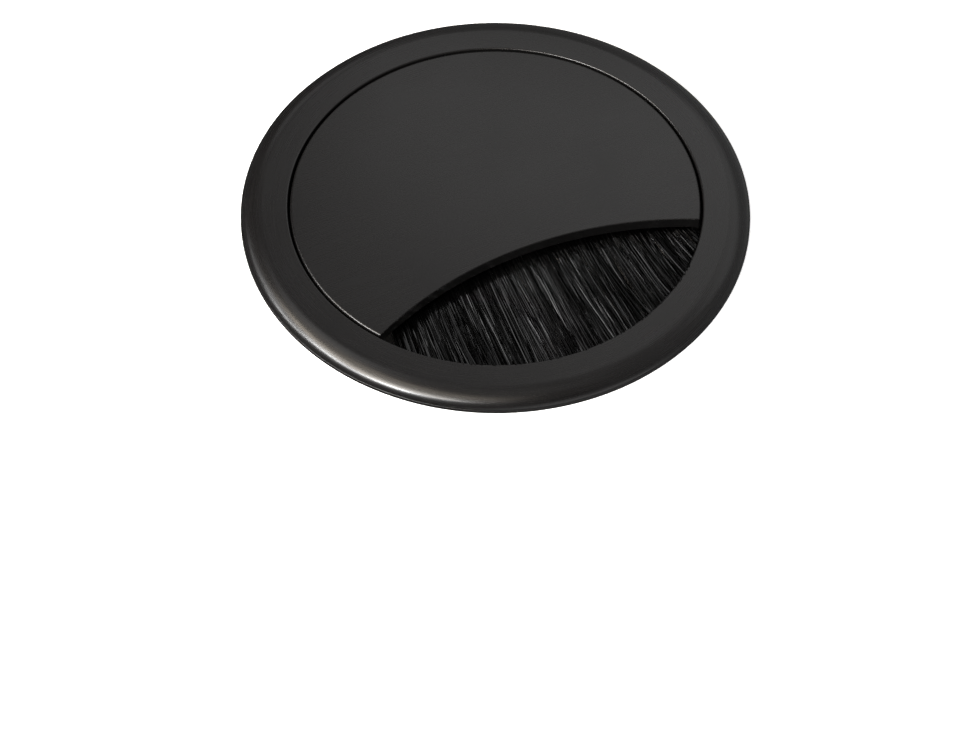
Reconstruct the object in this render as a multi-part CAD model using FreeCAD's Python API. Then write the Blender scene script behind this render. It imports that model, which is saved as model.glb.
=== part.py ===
"""Brush cable grommet for a round hole in a desk top.

A flanged ring drops into the hole. Inside it a lid stands on a seat, flush with the flange. A crescent is
cut out of the lid for the cables, and a strip brush clamped under the lid closes the crescent round them.
The origin is on the ring's axis at the desk surface, +Z is up and the crescent opens towards -Y.
"""

import FreeCAD
import Part
import itertools
import math
import os

Vector = FreeCAD.Vector

# Ring: a sleeve in the desk hole, a crowned flange over the edge of the hole, and the seat for the lid
DESK_HOLE_DIA = 80.0
SLEEVE_CLEARANCE = 0.25
SLEEVE_WALL = 1.5
SLEEVE_DEPTH = 17.0
SLEEVE_LEAD_IN = 0.5
FLANGE_OVERLAP = 7.5
FLANGE_HEIGHT = 3.0
FLANGE_RIM = 0.6
CROWN_RADIUS = 4.5
POCKET_WALL = 1.1
POCKET_CHAMFER = 0.3
SEAT_OVERLAP = 0.95
SEAT_THICKNESS = 1.4

# Lid: a plate with a chamfered edge and a stiffening rim, and the crescent cut by one large circle
LID_GAP = 0.45
LID_PLATE = 2.2
LID_CHAMFER = 0.45
LID_RIM_WIDTH = 1.5
CUT_RADIUS = 71.8
CUT_NEAREST_AXIS = 12.3
CUT_CHAMFER = 0.2

# Strip brush: bristles folded round a core wire and crimped into a folded channel
CHANNEL_SETBACK = 2.0
CHANNEL_DEPTH = 5.0
CHANNEL_THICKNESS = 2.4
CHANNEL_SHEET = 0.4
CHANNEL_END = 1.0
CRIMP = 0.2
CRIMP_LENGTH = 1.0
CORE_WIRE_DIA = 0.8
CORE_WIRE_FIT = 0.03
BRISTLE_FIT = 0.05
BRISTLE_TIP_THICKNESS = 1.6
BRISTLE_TIP_GAP = 0.35
BRISTLE_SEAT_GAP = 0.4
BRISTLE_END_GAP = 0.45
BRISTLE_FAN_DEG = 4.0
TUFT_PITCH = 0.8
TUFT_SLIT = 0.12
TUFT_RIDGE = 0.24
TUFT_ROOT = 0.5
TUFT_PAIR_ROOT = 1.5
TUFT_CUT_OVER = 0.2

# Fixing of the brush: a flat bar pulled against the channel by two screws in bosses under the lid
BOSS_DIA = 5.0
BOSS_SPACING = 40.0
BOSS_RELIEF = 0.1
RIB_WIDTH = 1.2
RIB_HEIGHT = 1.6
RIB_GAP = 0.1
CLAMP_THICKNESS = 1.0
CLAMP_END = 6.0
CLAMP_MARGIN = 0.8
CLAMP_CORNER = 2.0
CLAMP_HOLE_PLAY = 0.2
SCREW_DIA = 2.5
SCREW_LENGTH = 4.0
SCREW_FIT = 0.05
SCREW_TIP_GAP = 0.4
SCREW_HEAD_DIA = 4.5
SCREW_HEAD_HEIGHT = 1.6
SCREW_HEAD_CHAMFER = 0.6
SCREW_RECESS_WIDTH = 0.6
SCREW_RECESS_SPAN = 2.6
SCREW_RECESS_DEPTH = 0.9

# Radii of the pieces that sit inside each other
sleeve_r = DESK_HOLE_DIA / 2 - SLEEVE_CLEARANCE
sleeve_bore_r = sleeve_r - SLEEVE_WALL
flange_r = DESK_HOLE_DIA / 2 + FLANGE_OVERLAP
pocket_r = sleeve_r - POCKET_WALL
lid_r = pocket_r - LID_GAP
lid_rim_r = lid_r - LID_RIM_WIDTH
seat_r = lid_r - SEAT_OVERLAP
bristle_r = pocket_r - BRISTLE_TIP_GAP

# Levels, from the lid's underside down: the brush, the seat under the bristles, the clamp bar
lid_under_z = FLANGE_HEIGHT - LID_PLATE
brush_z = lid_under_z - CHANNEL_THICKNESS / 2
seat_z = brush_z - BRISTLE_TIP_THICKNESS / 2 - BRISTLE_SEAT_GAP
clamp_top_z = lid_under_z - CHANNEL_THICKNESS
clamp_low_z = clamp_top_z - CLAMP_THICKNESS

# Plan of the crescent and of the brush behind it
cut_centre_y = -(CUT_NEAREST_AXIS + CUT_RADIUS)
mouth_y = -(CUT_NEAREST_AXIS - CHANNEL_SETBACK)
channel_back_y = mouth_y + CHANNEL_DEPTH
fold_y = channel_back_y - CHANNEL_THICKNESS / 2
crimp_y = mouth_y + CRIMP_LENGTH
fan_slope = math.tan(math.radians(BRISTLE_FAN_DEG))
rim_end_y = (CUT_RADIUS**2 - lid_rim_r**2 - cut_centre_y**2) / (-2 * cut_centre_y)
rim_end_x = math.sqrt(lid_rim_r**2 - rim_end_y**2)
brush_half = rim_end_x - BRISTLE_END_GAP - fan_slope * (mouth_y - rim_end_y)
channel_half = brush_half + CHANNEL_END
boss_y = channel_back_y + RIB_GAP + BOSS_DIA / 2


def section(r, z):
    """A point of a turned section: distance from the axis and height."""
    return Vector(r, 0, z)


def side(y, z):
    """A point of the brush's cross-section, seen along X."""
    return Vector(0, y, z)


def plan(x, y):
    """A point seen from above."""
    return Vector(x, y, 0)


class Outline:
    """A closed outline of straight runs and arcs, drawn from a first point in one plane."""

    def __init__(self, place, *first):
        self.place = place
        self.first = self.last = place(*first)
        self.edges = []

    def line(self, *end):
        end = self.place(*end)
        self.edges.append(Part.LineSegment(self.last, end).toShape())
        self.last = end
        return self

    def arc(self, through, end):
        through, end = self.place(*through), self.place(*end)
        self.edges.append(Part.Arc(self.last, through, end).toShape())
        self.last = end
        return self

    def face(self):
        closing = []
        if self.last.distanceToPoint(self.first) > 1e-7:
            closing.append(Part.LineSegment(self.last, self.first).toShape())
        return Part.Face(Part.Wire(self.edges + closing))

    def turned(self, centre=Vector(0, 0, 0)):
        return self.face().revolve(Vector(0, 0, 0), Vector(0, 0, 1), 360).translate(centre)

    def extruded(self, along):
        return self.face().extrude(along)


def on_circle(centre, radius, degrees):
    """The point of a circle at an angle, as two numbers."""
    angle = math.radians(degrees)
    return centre[0] + radius * math.cos(angle), centre[1] + radius * math.sin(angle)


def upright(radius, low_z, high_z, x, y):
    """An upright cylinder."""
    return Part.makeCylinder(radius, high_z - low_z, Vector(x, y, low_z))


def box(low, high):
    """A box between two corners."""
    size = high - low
    return Part.makeBox(size.x, size.y, size.z, low)


def screw_places():
    """The two screw axes, left and right of the brush's middle."""
    return [(side_sign * BOSS_SPACING / 2, boss_y) for side_sign in (-1, 1)]


def flange_ring():
    """The crowned flange, the lid's pocket and seat, and the sleeve, turned as one casting."""
    drop = FLANGE_HEIGHT - FLANGE_RIM
    crown_run = math.sqrt(drop * (2 * CROWN_RADIUS - drop))
    crown = (flange_r - crown_run, FLANGE_HEIGHT - CROWN_RADIUS)
    crown_start = math.degrees(math.atan2(FLANGE_RIM - crown[1], crown_run))
    seat_low_z = seat_z - SEAT_THICKNESS
    ring = Outline(section, flange_r, 0)
    ring.line(flange_r, FLANGE_RIM)
    ring.arc(on_circle(crown, CROWN_RADIUS, (crown_start + 90) / 2), (crown[0], FLANGE_HEIGHT))
    ring.line(pocket_r + POCKET_CHAMFER, FLANGE_HEIGHT)
    ring.line(pocket_r, FLANGE_HEIGHT - POCKET_CHAMFER)
    ring.line(pocket_r, seat_z)
    ring.line(seat_r, seat_z)
    ring.line(seat_r, seat_low_z)
    ring.line(sleeve_bore_r, seat_low_z - (sleeve_bore_r - seat_r))
    ring.line(sleeve_bore_r, -SLEEVE_DEPTH)
    ring.line(sleeve_r - SLEEVE_LEAD_IN, -SLEEVE_DEPTH)
    ring.line(sleeve_r, -SLEEVE_DEPTH + SLEEVE_LEAD_IN)
    ring.line(sleeve_r, 0)
    return ring.turned()


def crescent_cutter():
    """The large round cutter of the crescent, flared at the top so that it chamfers the lid's cut edge."""
    cutter = Outline(section, 0, seat_z)
    cutter.line(CUT_RADIUS, seat_z)
    cutter.line(CUT_RADIUS, FLANGE_HEIGHT - CUT_CHAMFER)
    cutter.line(CUT_RADIUS + CUT_CHAMFER, FLANGE_HEIGHT)
    cutter.line(0, FLANGE_HEIGHT)
    return cutter.turned(Vector(0, cut_centre_y, 0))


def lid():
    """The lid plate with its rim, the crescent, and the bosses and rib that place the brush."""
    plate = Outline(section, 0, lid_under_z)
    plate.line(lid_rim_r, lid_under_z)
    plate.line(lid_rim_r, seat_z)
    plate.line(lid_r, seat_z)
    plate.line(lid_r, FLANGE_HEIGHT - LID_CHAMFER)
    plate.line(lid_r - LID_CHAMFER, FLANGE_HEIGHT)
    plate.line(0, FLANGE_HEIGHT)
    cover = plate.turned().cut(crescent_cutter())

    rib_y = channel_back_y + RIB_GAP
    rib_low = Vector(-BOSS_SPACING / 2, rib_y, lid_under_z - RIB_HEIGHT)
    rib_high = Vector(BOSS_SPACING / 2, rib_y + RIB_WIDTH, lid_under_z)
    boss_low_z = clamp_top_z + BOSS_RELIEF
    bosses = [upright(BOSS_DIA / 2, boss_low_z, lid_under_z, x, y) for x, y in screw_places()]
    cover = cover.fuse([box(rib_low, rib_high), *bosses]).removeSplitter()

    hole_top_z = clamp_low_z + SCREW_LENGTH + SCREW_TIP_GAP
    hole_r = SCREW_DIA / 2 + SCREW_FIT
    return cover.cut([upright(hole_r, boss_low_z, hole_top_z, x, y) for x, y in screw_places()])


def brush_channel():
    """The folded strip: round at the back, with its lips crimped in at the mouth."""
    outer = CHANNEL_THICKNESS / 2
    inner = outer - CHANNEL_SHEET
    strip = Outline(side, fold_y, brush_z + outer)
    strip.line(crimp_y, brush_z + outer)
    strip.line(mouth_y, brush_z + outer - CRIMP)
    strip.line(mouth_y, brush_z + inner - CRIMP)
    strip.line(crimp_y, brush_z + inner)
    strip.line(fold_y, brush_z + inner)
    strip.arc((fold_y + inner, brush_z), (fold_y, brush_z - inner))
    strip.line(crimp_y, brush_z - inner)
    strip.line(mouth_y, brush_z - inner + CRIMP)
    strip.line(mouth_y, brush_z - outer + CRIMP)
    strip.line(crimp_y, brush_z - outer)
    strip.line(fold_y, brush_z - outer)
    strip.arc((fold_y + outer, brush_z), (fold_y, brush_z + outer))
    return strip.extruded(Vector(2 * channel_half, 0, 0)).translate(Vector(-channel_half, 0, 0))


def wire(radius, half_length):
    """A straight round wire in the fold of the channel."""
    return Part.makeCylinder(radius, 2 * half_length, Vector(-half_length, fold_y, brush_z), Vector(1, 0, 0))


def tuft_edges():
    """Where the tufts meet each other along the channel's mouth, with the two ends of the brush."""
    tufts = round(2 * brush_half / TUFT_PITCH)
    return [brush_half * (2 * n / tufts - 1) for n in range(tufts + 1)]


def tuft_lean(x):
    """The lean of the bristles at a place along the brush, in degrees: none in the middle."""
    return BRISTLE_FAN_DEG * x / brush_half


def tuft_tip(x):
    """Where a line along the bristles from the channel's mouth reaches the trimmed round edge."""
    lean = math.radians(tuft_lean(x))
    along = plan(math.sin(lean), -math.cos(lean))
    start = plan(x, mouth_y)
    ahead = start.dot(along)
    reach = math.sqrt(ahead**2 + bristle_r**2 - start.dot(start)) - ahead
    return start.x + reach * along.x, start.y + reach * along.y


def bristle_blank():
    """The bristles before they are parted: folded round the wire, necked at the mouth, trimmed to the ring."""
    root = CHANNEL_THICKNESS / 2 - CHANNEL_SHEET - BRISTLE_FIT
    neck = root - CRIMP
    tip = BRISTLE_TIP_THICKNESS / 2
    tip_y = -bristle_r
    layer = Outline(side, fold_y, brush_z + root)
    layer.line(crimp_y, brush_z + root)
    layer.line(mouth_y, brush_z + neck)
    layer.line(tip_y, brush_z + tip)
    layer.line(tip_y, brush_z - tip)
    layer.line(mouth_y, brush_z - neck)
    layer.line(crimp_y, brush_z - root)
    layer.line(fold_y, brush_z - root)
    layer.arc((fold_y + root, brush_z), (fold_y, brush_z + root))

    fan = Outline(plan, -brush_half, channel_back_y)
    fan.line(-brush_half, mouth_y)
    for x in tuft_edges():
        fan.line(*tuft_tip(x))
    fan.line(brush_half, mouth_y)
    fan.line(brush_half, channel_back_y)
    blank = layer.extruded(Vector(2 * bristle_r, 0, 0)).translate(Vector(-bristle_r, 0, 0))
    trim = fan.extruded(Vector(0, 0, CHANNEL_THICKNESS)).translate(Vector(0, 0, clamp_top_z))
    return blank.common(trim)


def tuft_parting(x, root):
    """The slit between two tufts, from a root in front of the channel, widened so that each tuft has a ridge."""
    slit = TUFT_SLIT / 2
    tip = BRISTLE_TIP_THICKNESS / 2
    reach = tip + TUFT_CUT_OVER
    groove = slit + ((TUFT_PITCH - TUFT_RIDGE) / 2 - slit) * reach / tip
    start_y = mouth_y - root
    cut = Outline(lambda u, w: Vector(x + u, start_y, brush_z + w), -slit, 0)
    cut.line(-groove, reach)
    cut.line(groove, reach)
    cut.line(slit, 0)
    cut.line(groove, -reach)
    cut.line(-groove, -reach)
    parting = cut.extruded(Vector(0, -2 * bristle_r, 0))
    return parting.rotate(Vector(x, mouth_y, 0), Vector(0, 0, 1), tuft_lean(x))


def bristles():
    """The bristles, parted into pairs of tufts that fan out a little towards the ends of the strip."""
    roots = itertools.cycle((TUFT_ROOT, TUFT_PAIR_ROOT))
    partings = [tuft_parting(x, root) for x, root in zip(tuft_edges()[1:-1], roots)]
    eye = wire(CORE_WIRE_DIA / 2 + CORE_WIRE_FIT, channel_half)
    return bristle_blank().cut([eye, *partings])


def brush_clamp_bar():
    """The flat bar under the channel, with rounded corners and a hole for each screw."""
    low = Vector(-BOSS_SPACING / 2 - CLAMP_END, mouth_y + CLAMP_MARGIN, clamp_low_z)
    high = Vector(BOSS_SPACING / 2 + CLAMP_END, boss_y + BOSS_DIA / 2 + CLAMP_MARGIN, clamp_top_z)
    bar = box(low, high)
    corners = [edge for edge in bar.Edges if abs(edge.tangentAt(edge.FirstParameter).z) > 0.9]
    bar = bar.makeFillet(CLAMP_CORNER, corners)
    hole_r = SCREW_DIA / 2 + CLAMP_HOLE_PLAY
    return bar.cut([upright(hole_r, clamp_low_z, clamp_top_z, x, y) for x, y in screw_places()])


def clamp_screw(x, y):
    """A pan-head screw pointing up, with a cross recess in its head."""
    head_low_z = clamp_low_z - SCREW_HEAD_HEIGHT
    head_r = SCREW_HEAD_DIA / 2
    form = Outline(section, 0, head_low_z)
    form.line(head_r - SCREW_HEAD_CHAMFER, head_low_z)
    form.line(head_r, head_low_z + SCREW_HEAD_CHAMFER)
    form.line(head_r, clamp_low_z)
    form.line(SCREW_DIA / 2, clamp_low_z)
    form.line(SCREW_DIA / 2, clamp_low_z + SCREW_LENGTH)
    form.line(0, clamp_low_z + SCREW_LENGTH)
    span, width = SCREW_RECESS_SPAN / 2, SCREW_RECESS_WIDTH / 2
    top_z = head_low_z + SCREW_RECESS_DEPTH
    slots = [
        box(Vector(-half_x, -half_y, head_low_z), Vector(half_x, half_y, top_z))
        for half_x, half_y in ((span, width), (width, span))
    ]
    return form.turned().cut(slots).translate(Vector(x, y, 0))


def clamp_screws():
    """Both screws, as separate solids."""
    return Part.Compound([clamp_screw(x, y) for x, y in screw_places()])


def main():
    pieces = {
        "flange_ring": flange_ring(),
        "lid": lid(),
        "brush_channel": brush_channel(),
        "brush_core_wire": wire(CORE_WIRE_DIA / 2, channel_half),
        "bristles": bristles(),
        "brush_clamp_bar": brush_clamp_bar(),
        "clamp_screws": clamp_screws(),
    }
    os.makedirs("parts", exist_ok=True)
    for name, shape in pieces.items():
        shape.exportStep(f"parts/{name}.step")
        size = shape.BoundBox
        print(
            f"{name}: {len(shape.Solids)} solid, {shape.Volume:.1f} mm3, valid {shape.isValid()},"
            f" z {size.ZMin:.2f} to {size.ZMax:.2f}"
        )


main()
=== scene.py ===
# %% [markdown]
# # A brush cable grommet
# A round black fitting that closes a cable hole in a desk. A flanged ring drops into the hole, a flush lid
# lies in the ring, and a crescent cut out of the lid is closed by a strip brush that lets cables through.
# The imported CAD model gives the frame. Everything below is made in the same place and in metres, so no piece
# has to be fitted by eye.

# %% Load the frame
import math

import bmesh
import bpy
import numpy as np
from mathutils import Matrix, Vector


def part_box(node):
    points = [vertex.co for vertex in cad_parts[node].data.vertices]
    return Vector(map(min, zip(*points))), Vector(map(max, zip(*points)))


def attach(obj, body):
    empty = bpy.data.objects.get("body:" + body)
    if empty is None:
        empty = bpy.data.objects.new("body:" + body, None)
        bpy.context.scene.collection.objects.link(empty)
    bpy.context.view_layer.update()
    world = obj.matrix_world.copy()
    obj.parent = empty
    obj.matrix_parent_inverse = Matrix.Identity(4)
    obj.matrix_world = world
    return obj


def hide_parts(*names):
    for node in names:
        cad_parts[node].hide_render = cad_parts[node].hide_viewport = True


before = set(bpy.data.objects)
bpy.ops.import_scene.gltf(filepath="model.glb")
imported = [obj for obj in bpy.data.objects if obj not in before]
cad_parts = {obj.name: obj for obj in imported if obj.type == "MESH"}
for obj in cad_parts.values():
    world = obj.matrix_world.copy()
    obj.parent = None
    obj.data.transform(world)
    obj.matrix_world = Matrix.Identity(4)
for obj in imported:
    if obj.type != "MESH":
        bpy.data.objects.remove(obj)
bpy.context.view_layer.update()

MM = 0.001

# %% [markdown]
# ## The camera
# The photograph looks down at about 50 degrees with a long lens, and the object lies above the middle of the
# frame. The camera could be shifted, but the shift would follow it into every other view. Aiming it at a
# point on the desk in front of the object frames the picture in the same way.

# %% Camera
VIEW_AZIMUTH = math.radians(-25.4)
VIEW_ELEVATION = 49.47
VIEW_DISTANCE = 700 * MM
LENS, SENSOR = 140.05, 36
CLIP_START = 10 * MM
AIM = Vector((-18.84, -34.18, 0)) * MM

view_right = Vector((math.cos(VIEW_AZIMUTH), math.sin(VIEW_AZIMUTH), 0))
view_away = Vector((-math.sin(VIEW_AZIMUTH), math.cos(VIEW_AZIMUTH), 0))


def seen_from_camera(side, elevation, distance):
    """Point at an angle to the right of straight behind the object, as the camera sees it."""
    level = view_away * math.cos(math.radians(side)) + view_right * math.sin(math.radians(side))
    height = math.radians(elevation)
    return (level * math.cos(height) + Vector((0, 0, math.sin(height)))) * distance


camera = bpy.data.objects.new("camera", bpy.data.cameras.new("camera"))
bpy.context.collection.objects.link(camera)
camera.data.lens = LENS
camera.data.sensor_width = SENSOR
camera.data.clip_start = CLIP_START
camera.location = seen_from_camera(180, VIEW_ELEVATION, VIEW_DISTANCE)
camera.rotation_euler = (AIM - camera.location).to_track_quat("-Z", "Y").to_euler()
bpy.context.scene.camera = camera
print("Camera at", [round(value / MM) for value in camera.location], "mm")

# %% [markdown]
# ## The flanged ring
# On the real object this is one die casting: a flat flange with a crowned edge, a pocket for the lid, and a
# sleeve that goes into the desk. It could be bevelled from a cylinder, but a turned part is most easily made
# as a lathe makes it. The section is drawn once as a chain of vertices and spun round the axis. The crown is
# two arcs, a wide one and a tighter shoulder, each spun from one vertex, and it ends in a narrow foot that
# catches a thin line of light. The sharp corners are rounded afterwards with the bevel operator.

# %% Drawing a section
CROWN_STEPS = 10


def only(items, kind):
    """Pick one kind of element from what an operator gives back."""
    return [item for item in items if isinstance(item, kind)]


def chain(mesh, start, points):
    """Draw edges from a vertex through points of a section, given as radius and height in mm."""
    ends = [start]
    for radius, height in points:
        ends.append(mesh.verts.new((radius * MM, 0, height * MM)))
        mesh.edges.new(ends[-2:])
    return ends


def arc_point(centre, radius, turn):
    """Point of the section on an arc, at a turn from straight up."""
    return centre + Vector((math.sin(turn), 0, math.cos(turn))) * radius


def arc(mesh, start, centre, turn):
    """Spin a vertex of the section round a centre in mm, and give the last vertex."""
    spun = bmesh.ops.spin(mesh, geom=[start], cent=centre * MM, axis=(0, 1, 0), angle=turn,
                          steps=CROWN_STEPS)
    return only(spun["geom_last"], bmesh.types.BMVert)[0]


print("An arc of the crown has", CROWN_STEPS, "steps")

# %% Crown of the ring
ring_low, ring_high = (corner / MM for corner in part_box("flange_ring"))
FLANGE_R, FLANGE_TOP = ring_high.x, ring_high.z
RIM, FOOT = 0.75, 0.2
SHOULDER_R = 2.4
JOINT_TURN, END_TURN = math.radians(38), math.radians(72)

shoulder_centre = Vector((FLANGE_R - FOOT, 0, RIM)) - arc_point(Vector(), SHOULDER_R, END_TURN)
joint = arc_point(shoulder_centre, SHOULDER_R, JOINT_TURN)
crown_r = (FLANGE_TOP - joint.z) / (1 - math.cos(JOINT_TURN))
crown_centre = joint - arc_point(Vector(), crown_r, JOINT_TURN)

ring_mesh = bmesh.new()
crown_start = ring_mesh.verts.new(arc_point(crown_centre, crown_r, 0) * MM)
crown_joint = arc(ring_mesh, crown_start, crown_centre, JOINT_TURN)
crown_end = arc(ring_mesh, crown_joint, shoulder_centre, END_TURN - JOINT_TURN)
print("Crown radius", round(crown_r, 2), "mm, shoulder radius", SHOULDER_R, "mm")

# %% Rest of the section
SLEEVE_R, SLEEVE_BORE_R, SLEEVE_CHAMFER = 39.75, 38.25, 0.5
SLEEVE_END = ring_low.z
POCKET_R, SEAT_R = 38.65, 37.25
SEAT_TOP, SEAT_LOW, SEAT_SLOPE = -1.6, -3.0, 1.0

outside = chain(ring_mesh, crown_end, [
    (FLANGE_R, RIM), (FLANGE_R, 0), (SLEEVE_R, 0), (SLEEVE_R, SLEEVE_END + SLEEVE_CHAMFER),
    (SLEEVE_R - SLEEVE_CHAMFER, SLEEVE_END), (SLEEVE_BORE_R, SLEEVE_END)])
inside = chain(ring_mesh, crown_start, [
    (POCKET_R, FLANGE_TOP), (POCKET_R, SEAT_TOP), (SEAT_R, SEAT_TOP), (SEAT_R, SEAT_LOW),
    (SLEEVE_BORE_R, SEAT_LOW - SEAT_SLOPE)])
ring_mesh.edges.new((outside[-1], inside[-1]))
print("Section of the ring:", len(ring_mesh.verts), "points")

# %% Spin the ring
RING_STEPS = 288
SEAM = 0.001 * MM


def lathe(mesh, steps):
    """Spin a whole section once round the upright axis and join the seam."""
    bmesh.ops.spin(mesh, geom=mesh.verts[:] + mesh.edges[:], cent=(0, 0, 0), axis=(0, 0, 1),
                   angle=math.tau, steps=steps, use_merge=True)
    bmesh.ops.remove_doubles(mesh, verts=mesh.verts, dist=SEAM)


lathe(ring_mesh, RING_STEPS)
bmesh.ops.recalc_face_normals(ring_mesh, faces=ring_mesh.faces)
print("Ring before rounding:", len(ring_mesh.faces), "faces")

# %% Round the edges of the ring
NEAR_ENOUGH = 0.01
POCKET_ROUND, FOOT_ROUND, BASE_ROUND, SEAT_ROUND = 0.3, 0.1, 0.12, 0.1


def circle_edges(mesh, radius, height):
    """Edges of the circle at a radius and a height in mm."""
    def on_circle(vert):
        return (abs(vert.co.xy.length / MM - radius) < NEAR_ENOUGH
                and abs(vert.co.z / MM - height) < NEAR_ENOUGH)
    return [edge for edge in mesh.edges if all(on_circle(vert) for vert in edge.verts)]


for radius, height, size, segments in ((POCKET_R, FLANGE_TOP, POCKET_ROUND, 4),
                                       (FLANGE_R, RIM, FOOT_ROUND, 3),
                                       (FLANGE_R, 0, BASE_ROUND, 2),
                                       (SEAT_R, SEAT_TOP, SEAT_ROUND, 2)):
    bmesh.ops.bevel(ring_mesh, geom=circle_edges(ring_mesh, radius, height), offset=size * MM,
                    offset_type="OFFSET", affect="EDGES", segments=segments, profile=0.5, material=-1,
                    clamp_overlap=True)
print("Ring with round edges:", len(ring_mesh.faces), "faces")

# %% The ring as an object
SHARP_ANGLE = 40


def piece(name, mesh, sharp_angle=SHARP_ANGLE):
    """Turn a bmesh into an object with smooth faces and crisp edges."""
    data = bpy.data.meshes.new(name)
    mesh.to_mesh(data)
    mesh.free()
    item = bpy.data.objects.new(name, data)
    bpy.context.collection.objects.link(item)
    data.shade_smooth()
    data.set_sharp_from_angle(angle=math.radians(sharp_angle))
    return item


def flatten_flats(item):
    """Weight the normals by face area, so that flat faces shade flat up to their rounded edges."""
    weighting = item.modifiers.new("flat faces", "WEIGHTED_NORMAL")
    weighting.keep_sharp = True


ring = piece("crowned_ring", ring_mesh)
flatten_flats(ring)
print("Ring:", len(ring.data.polygons), "faces")

# %% [markdown]
# ## The lid
# The lid is a flat disc with a shallow arc cut out of one side, and a rim underneath that rests in the ring.
# The arc could be cut with a boolean, but that leaves long thin faces along the edge. So the outline is two
# arcs, each spun from one vertex, filled and extruded. The edge on the circle is rounder than the edge along
# the cut, so the rounding is a bevel by weights. The hollow below, the two screw bosses and the rib between
# them are booleans, because those shapes only meet the plate from below.

# %% Outline of the lid
lid_low, lid_high = (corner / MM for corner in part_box("lid"))
LID_R, LID_TOP, LID_LOW = lid_high.y, lid_high.z, lid_low.z
CUT_R, CUT_FROM_AXIS = 71.8, 12.3
CUT_CENTRE_Y = -CUT_FROM_AXIS - CUT_R
LID_STEPS, CUT_STEPS = 220, 72

tip_y = (CUT_R ** 2 - LID_R ** 2 - CUT_CENTRE_Y ** 2) / (-2 * CUT_CENTRE_Y)
tip_x = math.sqrt(LID_R ** 2 - tip_y ** 2)
rim_turn = math.pi + 2 * math.atan2(-tip_y, tip_x)
cut_turn = 2 * math.atan2(tip_x, tip_y - CUT_CENTRE_Y)

lid_mesh = bmesh.new()
right_tip = lid_mesh.verts.new((tip_x * MM, tip_y * MM, LID_TOP * MM))
rim_arc = bmesh.ops.spin(lid_mesh, geom=[right_tip], cent=(0, 0, 0), axis=(0, 0, 1), angle=rim_turn,
                         steps=LID_STEPS)
left_tip = only(rim_arc["geom_last"], bmesh.types.BMVert)[0]
bmesh.ops.spin(lid_mesh, geom=[left_tip], cent=(0, CUT_CENTRE_Y * MM, 0), axis=(0, 0, -1), angle=cut_turn,
               steps=CUT_STEPS)
bmesh.ops.remove_doubles(lid_mesh, verts=lid_mesh.verts, dist=NEAR_ENOUGH * MM)
print("Lid tips at", round(tip_x, 2), round(tip_y, 2), "mm, outline of", len(lid_mesh.verts), "points")

# %% Plate of the lid
plate = bmesh.ops.contextual_create(lid_mesh, geom=lid_mesh.edges[:])["faces"]
skirt = bmesh.ops.extrude_face_region(lid_mesh, geom=plate)["geom"]
bmesh.ops.translate(lid_mesh, verts=only(skirt, bmesh.types.BMVert), vec=(0, 0, (LID_LOW - LID_TOP) * MM))
bmesh.ops.recalc_face_normals(lid_mesh, faces=lid_mesh.faces)
print("Lid plate:", len(lid_mesh.faces), "faces,", round(LID_TOP - LID_LOW, 2), "mm thick")

# %% Round the edges of the lid
EDGE_ROUND, CUT_ROUND, CORNER_ROUND = 0.42, 0.18, 0.3
ROUND_STEPS = 4

weights = lid_mesh.edges.layers.float.new("bevel_weight_edge")
for edge in lid_mesh.edges:
    on_top = [vert.co.z / MM > LID_TOP - NEAR_ENOUGH for vert in edge.verts]
    if all(on_top):
        on_rim = all(abs(vert.co.xy.length / MM - LID_R) < NEAR_ENOUGH for vert in edge.verts)
        edge[weights] = 1.0 if on_rim else CUT_ROUND / EDGE_ROUND
    elif any(on_top) and abs(abs(edge.verts[0].co.x) / MM - tip_x) < NEAR_ENOUGH:
        edge[weights] = CORNER_ROUND / EDGE_ROUND
lid = piece("crescent_lid", lid_mesh)
rounding = lid.modifiers.new("rounded edges", "BEVEL")
rounding.limit_method = "WEIGHT"
rounding.width = EDGE_ROUND * MM
rounding.segments = ROUND_STEPS
rounding.profile = 0.5
print("Edges rounded to", EDGE_ROUND, "mm on the circle and", CUT_ROUND, "mm along the cut")

# %% Tools for the underside


def rod(mesh, x, y, radius, low, high, segments):
    """Add an upright round rod to a mesh, in mm."""
    place = Matrix.Translation(Vector((x, y, (low + high) / 2)) * MM)
    bmesh.ops.create_cone(mesh, cap_ends=True, segments=segments, radius1=radius * MM,
                          radius2=radius * MM, depth=(high - low) * MM, matrix=place)


def carve(target, mesh, operation):
    """Cut a closed mesh out of an object, or join it to the object."""
    tool = piece("tool", mesh)
    step = target.modifiers.new("boolean", "BOOLEAN")
    step.operation = operation
    step.solver = "EXACT"
    step.object = tool
    bpy.context.view_layer.update()
    shaped = bpy.data.meshes.new_from_object(target.evaluated_get(bpy.context.evaluated_depsgraph_get()))
    target.modifiers.clear()
    target.data = shaped
    bpy.data.objects.remove(tool)


PLATE, LID_RIM_WIDTH = 2.2, 1.5
LID_UNDER = LID_TOP - PLATE
PAST = 1.0
HOLLOW_STEPS = 144

hollow = bmesh.new()
rod(hollow, 0, 0, LID_R - LID_RIM_WIDTH, LID_LOW - PAST, LID_UNDER, HOLLOW_STEPS)
carve(lid, hollow, "DIFFERENCE")
print("Hollow lid:", len(lid.data.polygons), "faces")

# %% Bosses, rib and screw holes
BOSS_R, BOSS_X, BOSS_STEPS = 2.5, 20.0, 48
RIB_WIDTH, RIB_HEIGHT = 1.2, 1.6
SCREW_HOLE_R, SCREW_END, HOLE_STEPS = 1.25, 1.8, 32
CLAMP_TOP = -1.6
OVERLAP = 0.2
screw_y = sum(corner.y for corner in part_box("clamp_screws")) / 2 / MM

bosses = bmesh.new()
for side in (-1, 1):
    rod(bosses, side * BOSS_X, screw_y, BOSS_R, CLAMP_TOP, LID_UNDER + OVERLAP, BOSS_STEPS)
carve(lid, bosses, "UNION")

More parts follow.
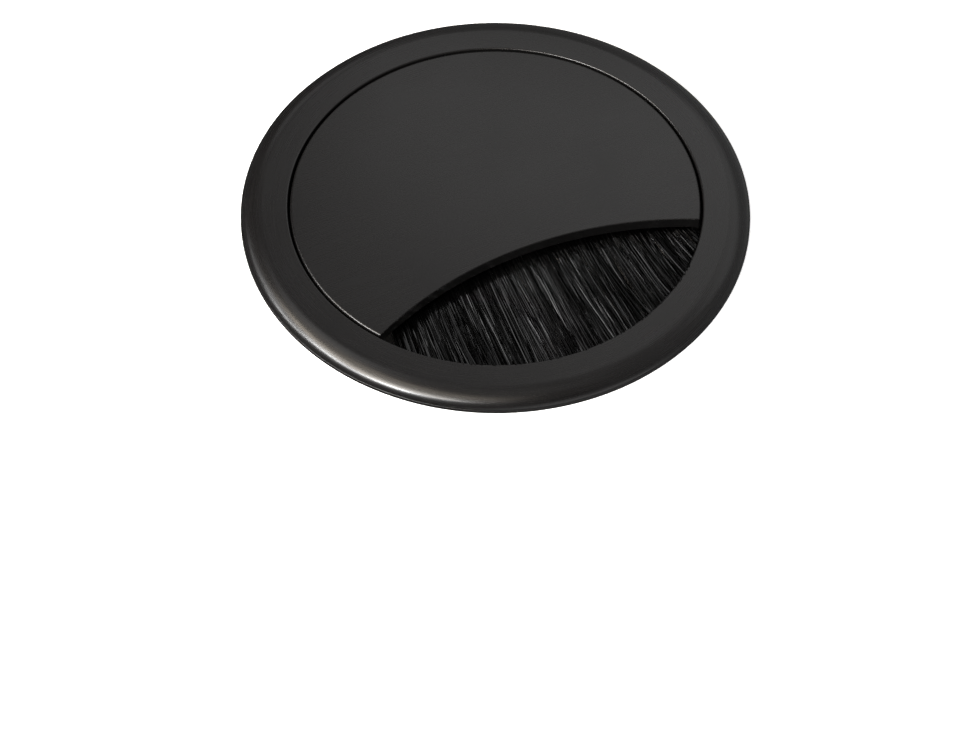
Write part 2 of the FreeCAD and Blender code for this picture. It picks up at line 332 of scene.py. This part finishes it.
rib = bmesh.new()
rib_place = Matrix.Translation(Vector((0, screw_y, LID_UNDER + OVERLAP / 2 - RIB_HEIGHT / 2)) * MM)
rib_size = Matrix.Diagonal((2 * BOSS_X * MM, RIB_WIDTH * MM, (RIB_HEIGHT + OVERLAP) * MM, 1))
bmesh.ops.create_cube(rib, size=1, matrix=rib_place @ rib_size)
carve(lid, rib, "UNION")

screw_holes = bmesh.new()
for side in (-1, 1):
    rod(screw_holes, side * BOSS_X, screw_y, SCREW_HOLE_R, CLAMP_TOP - PAST, SCREW_END, HOLE_STEPS)
carve(lid, screw_holes, "DIFFERENCE")
lid.data.shade_smooth()
lid.data.set_sharp_from_angle(angle=math.radians(SHARP_ANGLE))
flatten_flats(lid)
print("Lid:", len(lid.data.polygons), "faces")

# %% [markdown]
# ## The bristles
# The brush is some thousands of nylon filaments, folded round a wire and gripped by a folded channel under
# the lid. Hair particles would look right but leave nothing to export, so each filament is a thin closed
# tube of a few faces. One is extruded from a small square, an Array repeats it, and then every tube is combed
# into place: it leaves the channel's mouth, keeps under the lid as far as the cut, leans with its tuft, bends
# a little and is trimmed at the ring's wall. The tufts splay at the right end and lie higher there. A few
# strays lie over the ring's edge. The random numbers have a fixed seed.

# %% One filament, repeated
FILAMENTS = 2300
FILAMENT_DIA, SIDES = 0.2, 4
SPANS = 10
STRAND_ANGLE = 75

strand = bmesh.new()
bmesh.ops.create_circle(strand, cap_ends=False, segments=SIDES, radius=FILAMENT_DIA / 2 * MM)
strand_end = strand.edges[:]
for _ in range(SPANS):
    grown = bmesh.ops.extrude_edge_only(strand, edges=strand_end)["geom"]
    strand_end = only(grown, bmesh.types.BMEdge)
    bmesh.ops.translate(strand, verts=only(grown, bmesh.types.BMVert), vec=(0, 0, 1))
bmesh.ops.holes_fill(strand, edges=strand.edges, sides=SIDES)
bmesh.ops.recalc_face_normals(strand, faces=strand.faces)
bristles = piece("nylon_bristles", strand, STRAND_ANGLE)
repeat = bristles.modifiers.new("repeat", "ARRAY")
repeat.count = FILAMENTS
repeat.use_relative_offset = False
bpy.context.view_layer.update()
bristles.data = bpy.data.meshes.new_from_object(
    bristles.evaluated_get(bpy.context.evaluated_depsgraph_get()))
bristles.modifiers.clear()
print("Filaments:", FILAMENTS, "with", len(bristles.data.polygons), "faces")

# %% Tufts
LEFT_END, RIGHT_END = -27.9, 30.0
TUFT_PITCH = 0.8
TUFT_LEAN, TUFT_TONE, TUFT_RISE = math.radians(0.7), 0.12, 0.35

dice = np.random.default_rng(14)
tufts = int((RIGHT_END - LEFT_END) / TUFT_PITCH) + 1
tuft = dice.integers(0, tufts, FILAMENTS)
tuft_lean = dice.normal(0, TUFT_LEAN, tufts)[tuft]
tuft_tone = dice.normal(0, TUFT_TONE, tufts)[tuft]
tuft_rise = dice.normal(0, TUFT_RISE, tufts)[tuft]
print("Tufts:", tufts, "of about", FILAMENTS // tufts, "filaments")

# %% Where each filament starts and how it leans
channel_low, channel_high = (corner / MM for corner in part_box("brush_channel"))
ROOT_INSIDE, ROOT_DROP = 0.6, 0.1
NECK, TUFT_SPREAD = 0.35, 0.26
COMB, FAN, SPLAY = math.radians(-3.0), math.radians(5.5), math.radians(11.0)
SPLAY_FROM, SPLAY_RUN = 0.8, 0.2
OWN_LEAN = math.radians(0.8)

root_x = LEFT_END + TUFT_PITCH * (tuft + 0.5) + dice.normal(0, TUFT_SPREAD, FILAMENTS)
root_x = np.clip(root_x, LEFT_END, RIGHT_END)
root_y = channel_low.y + ROOT_INSIDE
brush_z = (channel_low.z + channel_high.z) / 2 - ROOT_DROP
root_z = brush_z + dice.uniform(-NECK, NECK, FILAMENTS)
along = 2 * (root_x - LEFT_END) / (RIGHT_END - LEFT_END) - 1
splay = SPLAY * np.clip((along - SPLAY_FROM) / SPLAY_RUN, 0, 1) ** 2
lean = COMB + FAN * along + splay + tuft_lean
lean += dice.normal(0, OWN_LEAN, FILAMENTS)
print("Lean from", round(math.degrees(lean.min()), 1), "to", round(math.degrees(lean.max()), 1), "degrees")

# %% Trim the filaments
TRIM_R, TRIM_SPREAD, TRIM_PAST = 38.3, 0.12, 0.2
UNDER_EDGE = 0.6


def reach(x, y, angle, centre_y, radius):
    """Distance from a point along a lean to a circle round a centre on the Y axis."""
    dx, dy = np.sin(angle), -np.cos(angle)
    offset = y - centre_y
    half = x * dx + offset * dy
    root = half ** 2 - (x ** 2 + offset ** 2 - radius ** 2)
    return -half + np.sqrt(np.maximum(root, 0))


trim = TRIM_R + dice.normal(0, TRIM_SPREAD, FILAMENTS) - dice.exponential(TRIM_SPREAD, FILAMENTS)
length = reach(root_x, root_y, lean, 0, np.minimum(trim, TRIM_R + TRIM_PAST))
cut_y = CUT_CENTRE_Y + np.sqrt(CUT_R ** 2 - root_x ** 2)
to_cut = np.minimum((root_y - cut_y) / np.cos(lean) + UNDER_EDGE, length)
print("Filaments from", round(length.min(), 1), "to", round(length.max(), 1), "mm long")

# %% How high the tips lie
TILT, TIP_SPREAD = 0.6, 0.7
RISE_POWERS = 1.3, 2.2
CLEARANCE = 0.08
LOWEST_TIP, HIGHEST_TIP = SEAT_TOP + 0.2, LID_TOP - 0.3
STRAYS, STRAY_R = 0.012, 38.95

rise_power = dice.uniform(*RISE_POWERS, FILAMENTS)
tip_z = brush_z + TILT * along + tuft_rise + dice.normal(0, TIP_SPREAD, FILAMENTS)
ceiling = LID_UNDER - FILAMENT_DIA / 2 - CLEARANCE
highest = root_z + (ceiling - root_z) / (to_cut / length) ** rise_power
tip_z = np.clip(np.minimum(tip_z, highest), LOWEST_TIP, HIGHEST_TIP)
stray_z = FLANGE_TOP + FILAMENT_DIA / 2
stray = (dice.random(FILAMENTS) < STRAYS) & (highest > stray_z)
tip_z = np.where(stray, stray_z, tip_z)
length = np.where(stray, reach(root_x, root_y, lean, 0, STRAY_R), length)
print("Strays over the ring:", stray.sum())

# %% Bends, waves and kinks
BEND, WAVE, RIPPLE, KINK = 0.01, 0.03, 0.04, 0.015
WAVE_LENGTHS = 8, 16

bend = dice.normal(0, BEND, FILAMENTS) * length
wave = dice.normal(0, WAVE, FILAMENTS)
ripple = dice.normal(0, RIPPLE, FILAMENTS)
turns = length / dice.uniform(*WAVE_LENGTHS, FILAMENTS)
phase = dice.uniform(0, math.tau, FILAMENTS)
roll = dice.uniform(0, math.tau, FILAMENTS)
kink = dice.normal(0, KINK, (2, FILAMENTS, SPANS + 1))
print("Largest bend", round(np.abs(bend).max(), 2), "mm, largest kink", round(np.abs(kink).max(), 2), "mm")

# %% Comb the tubes into place
FREE_RUN = 3

shape = np.empty(len(bristles.data.vertices) * 3)
bristles.data.vertices.foreach_get("co", shape)
shape = shape.reshape(FILAMENTS, -1, 3)
across, up, step = shape[..., 0] / MM, shape[..., 1] / MM, np.rint(shape[..., 2]) / SPANS


def per_strand(values):
    """Give each value to all the points of its filament."""
    return np.repeat(values[:, None], shape.shape[1], axis=1)


turned_x = across * np.cos(per_strand(roll)) - up * np.sin(per_strand(roll))
turned_z = across * np.sin(per_strand(roll)) + up * np.cos(per_strand(roll))
forward = per_strand(length) * step
swing = step * math.tau * per_strand(turns) + per_strand(phase)
free = np.clip((forward - per_strand(to_cut)) / FREE_RUN, 0, 1)
ring_number = np.rint(step * SPANS).astype(int)
kink_x, kink_z = (np.take_along_axis(offsets, ring_number, axis=1) for offsets in kink)
sideways = per_strand(bend) * (step ** 2 - step) + per_strand(wave) * free * np.sin(swing) + kink_x
lift = per_strand(ripple) * free * np.cos(swing) + kink_z
rise = per_strand(tip_z - root_z) * step ** per_strand(rise_power)
combed = np.stack([
    per_strand(root_x) + forward * np.sin(per_strand(lean)) + sideways + turned_x,
    root_y - forward * np.cos(per_strand(lean)),
    per_strand(root_z) + rise + lift + turned_z], axis=-1)
bristles.data.vertices.foreach_set("co", (combed * MM).ravel())
print("Brush from", np.round(combed.min(axis=(0, 1)), 2), "to", np.round(combed.max(axis=(0, 1)), 2), "mm")

# %% Tone and painted shade of each filament
TONE_MIDDLE, SHADE_AT_ENDS, SHADE_AT_RIGHT, TONE_SPREAD = 0.12, 0.25, 0.3, 0.34

# Painted shade: the filaments are made darker towards both ends, and darker still at the right end.
tone_and_shade = TONE_MIDDLE - SHADE_AT_ENDS * along ** 2 - SHADE_AT_RIGHT * np.maximum(along, 0) + tuft_tone
tone_and_shade = np.clip(tone_and_shade + dice.exponential(TONE_SPREAD, FILAMENTS), 0, 1)
strand_tone_and_shade = bristles.data.attributes.new("tone_and_shade", "FLOAT", "POINT")
strand_tone_and_shade.data.foreach_set("value", per_strand(tone_and_shade).ravel())
bristles.data.update()
print("Mean tone of the filaments:", round(tone_and_shade.mean(), 2))

# %% [markdown]
# ## Helpers for the finishes
# Colours are written as they look on a screen and turned into the linear values that the shader works with.
# One function adds a node, sets it and links it. Another draws the speckle that several finishes share: a
# noise and two colours over it. Pattern sizes are given in millimetres.

# %% Colour and node helpers


def colour(code):
    """Linear colour of an sRGB hex code."""
    parts = [int(code[start:start + 2], 16) / 255 for start in (1, 3, 5)]
    return [part / 12.92 if part <= 0.04045 else ((part + 0.055) / 1.055) ** 2.4 for part in parts] + [1]


def add(tree, kind, inputs, **settings):
    """Add a node, set its properties, and set or link its inputs."""
    node = tree.nodes.new("ShaderNode" + kind)
    for name, value in settings.items():
        setattr(node, name, value)
    for name, value in inputs.items():
        if isinstance(value, bpy.types.NodeSocket):
            tree.links.new(value, node.inputs[name])
        else:
            node.inputs[name].default_value = value
    return node


def new_finish(name):
    """Start a material with an empty node tree."""
    finish = bpy.data.materials.new(name)
    finish.use_nodes = True
    finish.node_tree.nodes.clear()
    return finish, finish.node_tree


def dye(ramp, dark, light):
    """Set the two colours of a ramp."""
    for stop, code in zip(ramp.color_ramp.elements, (dark, light)):
        stop.color = colour(code)


def speckle(tree, size, detail, dark, light):
    """Draw a noise of a size in mm and two colours over it, and give both."""
    place = add(tree, "TexCoord", {}).outputs["Object"]
    noise = add(tree, "TexNoise", {"Vector": place, "Scale": 1 / (size * MM), "Detail": detail})
    ramp = add(tree, "ValToRGB", {"Fac": noise.outputs["Fac"]})
    dye(ramp, dark, light)
    return noise.outputs["Fac"], ramp.outputs[0]


print("Mid grey on a screen is", round(colour("#808080")[0], 3), "in linear light")

# %% [markdown]
# ## Satin black lacquer
# The ring and the lid are zinc castings, brushed fine and sprayed with a thin black satin lacquer, so the
# brushing still shows through as faint lines. The lacquer gives the eye a deep black with a broad, soft
# reflection of the lights. The lines could be cut into the mesh, but they are far too fine, so a noise that
# is stretched along them moves the tint, the gloss and a shallow bump. On the lid they run straight. On the
# ring they run round, as on a turned part. The real lines are about 0.1 mm apart, too fine for the picture,
# so they are drawn about 0.3 mm wide.

# %% Lacquer on the lid
LINE_WIDTH, LINE_LENGTH = 0.3 * MM, 9 * MM
LINE_DEPTH, LINE_STRENGTH = 0.004 * MM, 0.25
CLOUD = 14 * MM
LACQUER_DARK, LACQUER_LIGHT = "#0b0a0a", "#111010"
LACQUER_ROUGHNESS = 0.24, 0.30


def lacquer(tree, lines):
    """Finish a lacquer material whose faint lines are given by a noise."""
    place = add(tree, "TexCoord", {}).outputs["Object"]
    cloud = add(tree, "TexNoise", {"Vector": place, "Scale": 1 / CLOUD, "Detail": 3})
    tint = add(tree, "Mix", {0: lines, 6: colour(LACQUER_DARK), 7: colour(LACQUER_LIGHT)}, data_type="RGBA")
    uneven = add(tree, "Math", {0: cloud.outputs["Fac"], 1: lines}, operation="ADD")
    smoothest, roughest = LACQUER_ROUGHNESS
    gloss = add(tree, "MapRange", {"Value": uneven.outputs[0], "From Min": 0.6, "From Max": 1.4,
                                   "To Min": smoothest, "To Max": roughest})
    facing = add(tree, "SeparateXYZ", {0: add(tree, "TexCoord", {}).outputs["Normal"]})
    brushed = add(tree, "MapRange", {"Value": facing.outputs["Z"], "From Min": 0.2, "From Max": 0.6,
                                     "To Max": LINE_STRENGTH})
    relief = add(tree, "Bump", {"Height": lines, "Strength": brushed.outputs[0], "Distance": LINE_DEPTH})
    shader = add(tree, "BsdfPrincipled", {"Base Color": tint.outputs[2], "Roughness": gloss.outputs[0],
                                          "Normal": relief.outputs[0], "IOR": 1.5})
    add(tree, "OutputMaterial", {"Surface": shader.outputs[0]})


lid_lacquer, tree = new_finish("black lacquer on straight brushing")
place = add(tree, "TexCoord", {}).outputs["Object"]
turned = add(tree, "Mapping", {"Vector": place, "Rotation": (0, 0, -VIEW_AZIMUTH),
                               "Scale": (1 / LINE_LENGTH, 1 / LINE_WIDTH, 1 / LINE_WIDTH)})
straight = add(tree, "TexNoise", {"Vector": turned.outputs[0], "Scale": 1, "Detail": 2})
lacquer(tree, straight.outputs["Fac"])
print("Lid lacquer:", len(tree.nodes), "nodes")

# %% Lacquer on the ring
ring_lacquer, tree = new_finish("black lacquer on turned brushing")
place = add(tree, "TexCoord", {}).outputs["Object"]
axes = add(tree, "SeparateXYZ", {0: place})
flat = add(tree, "CombineXYZ", {"X": axes.outputs["X"], "Y": axes.outputs["Y"]})
from_axis = add(tree, "VectorMath", {0: flat.outputs[0]}, operation="LENGTH")
outwards = add(tree, "VectorMath", {0: flat.outputs[0]}, operation="NORMALIZE")
round_place = add(tree, "VectorMath", {0: outwards.outputs[0], "Scale": FLANGE_R * MM / LINE_LENGTH},
                  operation="SCALE")
round_axes = add(tree, "SeparateXYZ", {0: round_place.outputs[0]})
profile = add(tree, "Math", {0: from_axis.outputs["Value"], 1: axes.outputs["Z"]}, operation="SUBTRACT")
groove = add(tree, "Math", {0: profile.outputs[0], 1: LINE_WIDTH}, operation="DIVIDE")
turning = add(tree, "CombineXYZ", {"X": round_axes.outputs["X"], "Y": round_axes.outputs["Y"],
                                   "Z": groove.outputs[0]})
rings = add(tree, "TexNoise", {"Vector": turning.outputs[0], "Scale": 1, "Detail": 2})
lacquer(tree, rings.outputs["Fac"])
print("Ring lacquer:", len(tree.nodes), "nodes")

# %% [markdown]
# ## Matt lacquer with painted shade
# The walls of the pocket, the face of the cut and the underside get a darker black with little gloss, as
# painted shade. It gives the eye an almost black line round the lid and along the cut. It could be the satin
# lacquer with less gloss, but that mirrors the room as a grey haze, so it is a finish of its own with a weak
# reflection and fine pores half a millimetre wide.

# %% Painted shade in the pocket and on the cut
PORE = 0.5

painted_shade_lacquer, tree = new_finish("matt lacquer with painted shade")
# Painted shade: these two colours are a darker black than the satin lacquer.
pores, shade = speckle(tree, PORE, 3, "#070707", "#0d0c0c")
gloss = add(tree, "MapRange", {"Value": pores, "To Min": 0.45, "To Max": 0.6})
shader = add(tree, "BsdfPrincipled", {"Base Color": shade, "Roughness": gloss.outputs[0],
                                      "Specular IOR Level": 0.15})
add(tree, "OutputMaterial", {"Surface": shader.outputs[0]})
print("Lacquer with painted shade:", len(tree.nodes), "nodes")

# %% [markdown]
# ## Drawn black nylon
# The bristles are drawn nylon: black, smooth and glossy, each a little lighter or darker than its neighbours.
# That gives the eye fine bright streaks on near black. The streaks could be painted on, but they would stay
# put when the object turns. So the tone of each filament sets the weight of a clear coat, and the lights draw
# the streaks in it. Marks about a third of a millimetre long break them up. The tone also holds painted shade:
# towards both ends of the brush, and most at the right end, the filaments are made darker and duller.

# %% Nylon of the bristles
MARK, MARK_DEPTH = 0.35 * MM, 0.02 * MM
NYLON_DARK, NYLON_LIGHT = "#010101", "#090909"
DARK_UP_TO, LIGHT_FROM = 0.15, 0.6

nylon, tree = new_finish("drawn black nylon")
own_tone_and_shade = add(tree, "Attribute", {}, attribute_name="tone_and_shade").outputs["Fac"]
place = add(tree, "TexCoord", {}).outputs["Object"]
marks = add(tree, "TexNoise", {"Vector": place, "Scale": 1 / MARK, "Detail": 2})
lightness = add(tree, "Math", {0: own_tone_and_shade, 1: marks.outputs["Fac"]}, operation="MULTIPLY")
shade = add(tree, "ValToRGB", {"Fac": lightness.outputs[0]})
dye(shade, NYLON_DARK, NYLON_LIGHT)
shade.color_ramp.elements[0].position = DARK_UP_TO
shade.color_ramp.elements[1].position = LIGHT_FROM
gloss = add(tree, "MapRange", {"Value": own_tone_and_shade, "To Min": 0.18, "To Max": 0.12})
relief = add(tree, "Bump", {"Height": marks.outputs["Fac"], "Strength": 1, "Distance": MARK_DEPTH})
shader = add(tree, "BsdfPrincipled", {"Base Color": shade.outputs[0], "Roughness": gloss.outputs[0],
                                      "Normal": relief.outputs[0], "IOR": 1.6, "Specular IOR Level": 0.34,
                                      "Coat Weight": own_tone_and_shade, "Coat IOR": 1.75, "Coat Roughness": 0.14})
add(tree, "OutputMaterial", {"Surface": shader.outputs[0]})
print("Nylon:", len(tree.nodes), "nodes")

# %% [markdown]
# ## Galvanised steel
# The channel, the core wire and the clamp bar are galvanised sheet and wire. Their zinc coat has crystals a
# few millimetres wide that differ in tone and gloss, which gives the eye a pale spangled grey. A noise would
# blur the crystals into each other. A Voronoi pattern keeps their edges, and each cell has its own colour to
# take the tone and the gloss from.

# %% Galvanised steel of the brush
SPANGLE = 3 * MM
BLOOM, BLOOM_DEPTH = 0.4 * MM, 0.01 * MM

galvanised, tree = new_finish("galvanised steel")
place = add(tree, "TexCoord", {}).outputs["Object"]
spangle = add(tree, "TexVoronoi", {"Vector": place, "Scale": 1 / SPANGLE})
crystal = add(tree, "SeparateColor", {0: spangle.outputs["Color"]})
shade = add(tree, "ValToRGB", {"Fac": crystal.outputs[0]})
dye(shade, "#8d9193", "#b4b8ba")
gloss = add(tree, "MapRange", {"Value": crystal.outputs[1], "To Min": 0.32, "To Max": 0.5})
bloom = add(tree, "TexNoise", {"Vector": place, "Scale": 1 / BLOOM, "Detail": 3})
relief = add(tree, "Bump", {"Height": bloom.outputs["Fac"], "Strength": 0.3, "Distance": BLOOM_DEPTH})
shader = add(tree, "BsdfPrincipled", {"Base Color": shade.outputs[0], "Roughness": gloss.outputs[0],
                                      "Normal": relief.outputs[0], "Metallic": 1})
add(tree, "OutputMaterial", {"Surface": shader.outputs[0]})
print("Galvanised steel:", len(tree.nodes), "nodes")

# %% [markdown]
# ## Zinc plating
# The screws are zinc plated, finer and brighter than galvanised sheet, with small marks from handling. That
# gives the eye a soft, slightly uneven shine. The marks could be modelled, but on heads this small a noise
# half a millimetre wide in tone, gloss and bump is enough.

# %% Zinc plating of the screws
HANDLING, HANDLING_DEPTH = 0.5, 0.01 * MM

plated, tree = new_finish("zinc plated steel")
marks, shade = speckle(tree, HANDLING, 4, "#9a9ca0", "#c9c8c2")
gloss = add(tree, "MapRange", {"Value": marks, "To Min": 0.22, "To Max": 0.4})
relief = add(tree, "Bump", {"Height": marks, "Strength": 0.2, "Distance": HANDLING_DEPTH})
shader = add(tree, "BsdfPrincipled", {"Base Color": shade, "Roughness": gloss.outputs[0],
                                      "Normal": relief.outputs[0], "Metallic": 1})
add(tree, "OutputMaterial", {"Surface": shader.outputs[0]})
print("Zinc plating:", len(tree.nodes), "nodes")

# %% [markdown]
# ## Finishes on the pieces
# The new ring, lid and bristles take the place of the plain CAD solids. The hidden parts of the brush keep
# their CAD meshes and only get a finish. The matt lacquer with painted shade could be a piece of its own, but
# it is the same casting, so it is a second material on the faces in the pocket, on the cut and under the
# crown.

# %% Dress the new pieces
for item, node, finish, slot in ((ring, "flange_ring", ring_lacquer, "black_metal"),
                                 (lid, "lid", lid_lacquer, "black_metal"),
                                 (bristles, "bristles", nylon, "black_nylon")):
    item.data.materials.clear()
    item.data.materials.append(finish)
    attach(item, "root")
    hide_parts(node)

# Painted shade: faces in the pocket, on the cut and under the crown take the darker matt finish.
painted_shade_faces = 0
for item, below in ((ring, FLANGE_TOP - POCKET_ROUND - NEAR_ENOUGH), (lid, LID_TOP - EDGE_ROUND)):
    item.data.materials.append(painted_shade_lacquer)
    for face in item.data.polygons:
        height, from_centre = face.center.z / MM, face.center.xy.length / MM
        in_pocket = height < below and from_centre < POCKET_R + NEAR_ENOUGH
        if in_pocket or height < RIM - FOOT_ROUND:
            face.material_index = 1
            painted_shade_faces += 1
print("Faces with painted shade:", painted_shade_faces)

# %% Dress the CAD parts of the brush
for node, finish in (("brush_channel", galvanised), ("brush_core_wire", galvanised),
                     ("brush_clamp_bar", galvanised), ("clamp_screws", plated)):
    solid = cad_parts[node]
    for slot in solid.material_slots:
        slot.material = finish
    print(node, "has", len(solid.material_slots), "material slot")

# %% [markdown]
# ## The desk and the backdrop
# The object is seen lying in a white desk top, with its sleeve in the hole. A plain floor would cut through
# the sleeve, so the desk is a disc at the height of the flange's underside with a blind bore below it. The
# photograph shows no white desk mirrored in the black crown, so glossy rays pass by the desk. A backdrop that
# only the camera sees keeps the low views pale.

# %% Desk top with its hole
DESK_R, HOLE_R, HOLE_DEPTH = 1500, 40, 60
DESK_STEPS = 192

desk_mesh = bmesh.new()
desk_edge = desk_mesh.verts.new((DESK_R * MM, 0, 0))
chain(desk_mesh, desk_edge, [(HOLE_R, 0), (HOLE_R, -HOLE_DEPTH), (0, -HOLE_DEPTH)])
lathe(desk_mesh, DESK_STEPS)
desk = piece("desk_top", desk_mesh)
desk.visible_glossy = False
print("Desk top:", len(desk.data.polygons), "faces")

# %% [markdown]
# ## Laminate and chipboard
# The desk top is white melamine laminate, which gives the eye an even white with hardly any grain. It could be
# lit until it is white, but that would wash out the lacquer, so it glows a little by itself. The bore is
# flecked chipboard, coloured nearly black as painted shade down in the hole, and it only keeps the light from
# coming up through the brush.

# %% Finishes of the desk
GRAIN, CHIP = 2, 1.5

laminate, tree = new_finish("white laminate")
_, shade = speckle(tree, GRAIN, 2, "#f4f4f3", "#fafaf9")
shader = add(tree, "BsdfPrincipled", {"Base Color": shade, "Roughness": 0.6,
                                      "Emission Color": (1, 1, 1, 1), "Emission Strength": 0.7})
add(tree, "OutputMaterial", {"Surface": shader.outputs[0]})

bored, tree = new_finish("chipboard with painted shade")
# Painted shade: the near black of the bore stands in for the shade down in the hole.
_, shade = speckle(tree, CHIP, 3, "#0b0a09", "#1a1612")
shader = add(tree, "BsdfPrincipled", {"Base Color": shade, "Roughness": 0.9})
add(tree, "OutputMaterial", {"Surface": shader.outputs[0]})

desk.data.materials.append(laminate)
desk.data.materials.append(bored)
for face in desk.data.polygons:
    face.material_index = 1 if face.center.z / MM < -NEAR_ENOUGH else 0
print("Faces of the bore:", sum(face.material_index for face in desk.data.polygons))

# %% Backdrop
WALL_STEPS = 96

wall_mesh = bmesh.new()
bmesh.ops.create_cone(wall_mesh, segments=WALL_STEPS, radius1=DESK_R * MM, radius2=DESK_R * MM,
                      depth=DESK_R * MM, matrix=Matrix.Translation((0, 0, DESK_R / 2 * MM)))
wall = piece("backdrop", wall_mesh)
wall.data.materials.append(laminate)
for kind in ("diffuse", "glossy", "transmission", "shadow"):
    setattr(wall, "visible_" + kind, False)
print("Backdrop:", len(wall.data.polygons), "faces")

# %% [markdown]
# ## The lights
# Black lacquer shows little but the reflections in it, so the lights decide how it looks. One large softbox
# would draw an even line along the crown. Here the line swells and fades, so it is drawn by a row of lamps of
# different brightness on the left, and three long warm strips above them draw its soft inner side. Dim panels
# high up light the flats of the ring. Small panels close behind the object give the lid its grey, and because
# they are close, the grey fades towards the left and the front. The room adds a soft glow from the right and
# from the pale floor in front.

# %% Panels
FAR, NEAR = 0.75, 0.3
LAMP_WIDTH, LAMP_HEIGHT = 0.18, 0.12
WARM = "#fff1de"


def panel(name, side, elevation, distance, width, height, brightness, tint="#ffffff"):
    """Add a soft light panel that faces the object and that the camera doesn't see."""
    lamp = bpy.data.lights.new(name, "AREA")
    lamp.color = colour(tint)[:3]
    lamp.shape = "RECTANGLE"
    lamp.size = width
    lamp.size_y = height
    lamp.energy = brightness * math.pi * width * height
    item = bpy.data.objects.new(name, lamp)
    bpy.context.collection.objects.link(item)
    item.location = seen_from_camera(side, elevation, distance)
    item.rotation_euler = (-item.location).to_track_quat("-Z", "Y").to_euler()
    item.visible_camera = False


for side, elevation, brightness in ((-156, 45, 17), (-138, 36.5, 78), (-123, 30, 19), (-108, 33, 41),
                                    (-92, 20, 17), (-81, 27, 5), (-70, 18, 2)):
    panel("left lamp", side, elevation, FAR, LAMP_WIDTH, LAMP_HEIGHT, brightness)
panel("left strip", -108, 44, FAR, 0.6, 0.12, 9.5, WARM)
panel("front strip", -143, 48, FAR, 0.36, 0.1, 9.5, WARM)
panel("high strip", -140, 65, FAR, 0.6, 0.14, 2.6, WARM)
panel("high panel at the left", -97, 58, FAR, 0.5, 0.28, 0.6, WARM)
panel("high panel behind", -60, 61, FAR, 0.3, 0.28, 1.1)
panel("high panel overhead", 150, 82, FAR, 0.35, 0.35, 0.2)
panel("top panel behind", -30, 72, FAR, 0.3, 0.3, 0.18)
panel("low panel behind", -20, 30, FAR, 0.2, 0.15, 0.65)
panel("near panel at the left", -15, 37, NEAR, 0.09, 0.08, 0.16)
panel("near panel behind", 5, 46, NEAR, 0.12, 0.06, 0.97)
panel("near panel at the right", 46, 41, NEAR, 0.24, 0.12, 0.54)
panel("near panel above", 24, 60, NEAR, 0.12, 0.07, 0.36)

# %% Glow of the room
ROOM = 0.05

world = bpy.data.worlds.new("studio")
bpy.context.scene.world = world
world.use_nodes = True
tree = world.node_tree
tree.nodes.clear()
direction = add(tree, "TexCoord", {}).outputs["Generated"]
light = ROOM
for side, elevation, spread, brightness in ((60, 20, 0.1, 0.28), (150, -30, 0.6, 1.1)):
    nearness = add(tree, "VectorMath", {0: direction, 1: seen_from_camera(side, elevation, 1)},
                   operation="DOT_PRODUCT")
    glow = add(tree, "MapRange", {"Value": nearness.outputs["Value"], "From Min": spread, "From Max": 1,
                                  "To Max": brightness}, interpolation_type="SMOOTHSTEP")
    light = add(tree, "Math", {0: glow.outputs[0], 1: light}, operation="ADD").outputs[0]
air = add(tree, "Background", {"Color": (1, 1, 1, 1), "Strength": light})
add(tree, "OutputWorld", {"Surface": air.outputs[0]})
bpy.context.scene.view_settings.view_transform = "Standard"
print("World:", len(tree.nodes), "nodes")
